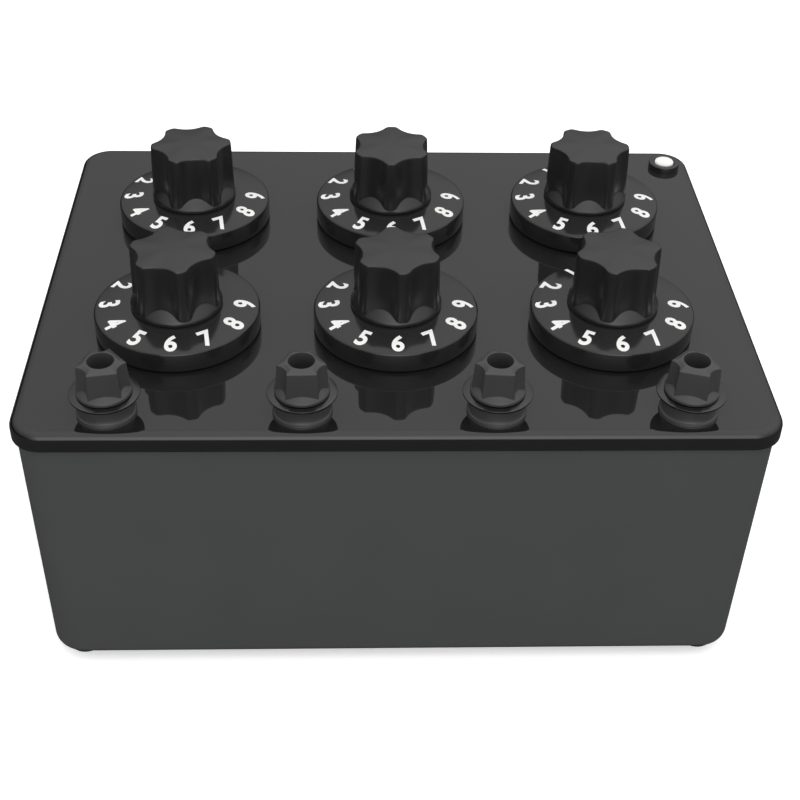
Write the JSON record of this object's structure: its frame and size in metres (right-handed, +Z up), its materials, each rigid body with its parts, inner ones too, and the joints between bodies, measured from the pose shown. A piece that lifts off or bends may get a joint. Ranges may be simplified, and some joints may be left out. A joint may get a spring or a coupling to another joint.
{
  "type": "decade resistance box",
  "caption": "Bench resistance box: fluted knobs on numbered skirted dials, clamp-type binding posts with plug sockets, glossy panel on a drafted moulded case with rubber feet.",
  "frame": {"origin": "middle of the surface that the feet stand on", "axes": "+X to the user's right, +Y to the back, +Z up out of the panel"},
  "size_m": [0.23, 0.174, 0.1277],
  "materials": {
    "case_plastic": "moulded phenolic, fine satin texture",
    "panel_gloss": "moulded black phenolic, polished",
    "foot_rubber": "moulded black rubber",
    "steel": "zinc plated",
    "brass": "turned",
    "spring_brass": "phosphor bronze strip",
    "nickel_brass": "nickel plated",
    "dull_nickel": "nickel plated, gone dark with age",
    "cap_plastic": "moulded black phenolic, semi gloss",
    "knob_plastic": "moulded black phenolic, semi gloss",
    "dial_plastic": "moulded black phenolic with filled white digits",
    "seal_white": "set sealing compound",
    "deck_board": "phenolic paper board",
    "resistance_wire": "enamelled winding on a bobbin"
  },
  "bodies": {
    "root": {"case": "case_plastic", "panel": "panel_gloss", "feet": "foot_rubber", "case_screws": "steel", "panel_pillars": "brass", "seal_cup": "cap_plastic", "seal_screw": "steel", "seal_compound": "seal_white", "post_collars": "cap_plastic", "post_backings": "cap_plastic", "post_studs": "nickel_brass", "post_nuts": "nickel_brass", "post_lugs": "nickel_brass", "switch_frames": "steel", "switch_nuts": "steel", "switch_decks": "deck_board", "contact_studs": "brass", "resistors": "resistance_wire", "detent_springs": "steel", "link_wires": "nickel_brass"},
    "switch_1": {"knob_1": "knob_plastic", "dial_1": "dial_plastic", "shaft_1": "steel", "wiper_1": "spring_brass", "knob_screw_1": "steel"},
    "switch_2": {"knob_2": "knob_plastic", "dial_2": "dial_plastic", "shaft_2": "steel", "wiper_2": "spring_brass", "knob_screw_2": "steel"},
    "switch_3": {"knob_3": "knob_plastic", "dial_3": "dial_plastic", "shaft_3": "steel", "wiper_3": "spring_brass", "knob_screw_3": "steel"},
    "switch_4": {"knob_4": "knob_plastic", "dial_4": "dial_plastic", "shaft_4": "steel", "wiper_4": "spring_brass", "knob_screw_4": "steel"},
    "switch_5": {"knob_5": "knob_plastic", "dial_5": "dial_plastic", "shaft_5": "steel", "wiper_5": "spring_brass", "knob_screw_5": "steel"},
    "switch_6": {"knob_6": "knob_plastic", "dial_6": "dial_plastic", "shaft_6": "steel", "wiper_6": "spring_brass", "knob_screw_6": "steel"},
    "post_lift_1": {"clamp_washer_1": "dull_nickel"},
    "post_turn_1": {"post_cap_1": "cap_plastic"},
    "post_lift_2": {"clamp_washer_2": "dull_nickel"},
    "post_turn_2": {"post_cap_2": "cap_plastic"},
    "post_lift_3": {"clamp_washer_3": "dull_nickel"},
    "post_turn_3": {"post_cap_3": "cap_plastic"},
    "post_lift_4": {"clamp_washer_4": "dull_nickel"},
    "post_turn_4": {"post_cap_4": "cap_plastic"}
  },
  "joints": [
    {"name": "knob_turn_1", "type": "hinge", "parent": "root", "child": "switch_1", "pos_m": [-0.0693, 0.0371, 0.0983], "axis": [0, 0, -1], "range_deg": [0, 270]},
    {"name": "knob_turn_2", "type": "hinge", "parent": "root", "child": "switch_2", "pos_m": [0, 0.0371, 0.0983], "axis": [0, 0, -1], "range_deg": [0, 270]},
    {"name": "knob_turn_3", "type": "hinge", "parent": "root", "child": "switch_3", "pos_m": [0.0693, 0.0371, 0.0983], "axis": [0, 0, -1], "range_deg": [0, 270]},
    {"name": "knob_turn_4", "type": "hinge", "parent": "root", "child": "switch_4", "pos_m": [-0.0693, -0.031, 0.0983], "axis": [0, 0, -1], "range_deg": [0, 270]},
    {"name": "knob_turn_5", "type": "hinge", "parent": "root", "child": "switch_5", "pos_m": [0, -0.031, 0.0983], "axis": [0, 0, -1], "range_deg": [0, 270]},
    {"name": "knob_turn_6", "type": "hinge", "parent": "root", "child": "switch_6", "pos_m": [0.0693, -0.031, 0.0983], "axis": [0, 0, -1], "range_deg": [0, 270]},
    {"name": "cap_lift_1", "type": "slide", "parent": "root", "child": "post_lift_1", "axis": [0, 0, 1], "range_m": [0, 0.003]},
    {"name": "cap_turn_1", "type": "hinge", "parent": "post_lift_1", "child": "post_turn_1", "pos_m": [-0.0865, -0.0755, 0.0983], "axis": [0, 0, 1], "range_deg": [0, 1080]},
    {"name": "cap_lift_2", "type": "slide", "parent": "root", "child": "post_lift_2", "axis": [0, 0, 1], "range_m": [0, 0.003]},
    {"name": "cap_turn_2", "type": "hinge", "parent": "post_lift_2", "child": "post_turn_2", "pos_m": [-0.02883, -0.0755, 0.0983], "axis": [0, 0, 1], "range_deg": [0, 1080]},
    {"name": "cap_lift_3", "type": "slide", "parent": "root", "child": "post_lift_3", "axis": [0, 0, 1], "range_m": [0, 0.003]},
    {"name": "cap_turn_3", "type": "hinge", "parent": "post_lift_3", "child": "post_turn_3", "pos_m": [0.02883, -0.0755, 0.0983], "axis": [0, 0, 1], "range_deg": [0, 1080]},
    {"name": "cap_lift_4", "type": "slide", "parent": "root", "child": "post_lift_4", "axis": [0, 0, 1], "range_m": [0, 0.003]},
    {"name": "cap_turn_4", "type": "hinge", "parent": "post_lift_4", "child": "post_turn_4", "pos_m": [0.0865, -0.0755, 0.0983], "axis": [0, 0, 1], "range_deg": [0, 1080]}
  ],
  "couplings": [
    {"joint": "cap_turn_1", "follows": "cap_lift_1", "rad_per_m": 6283.2},
    {"joint": "cap_turn_2", "follows": "cap_lift_2", "rad_per_m": 6283.2},
    {"joint": "cap_turn_3", "follows": "cap_lift_3", "rad_per_m": 6283.2},
    {"joint": "cap_turn_4", "follows": "cap_lift_4", "rad_per_m": 6283.2}
  ]
}
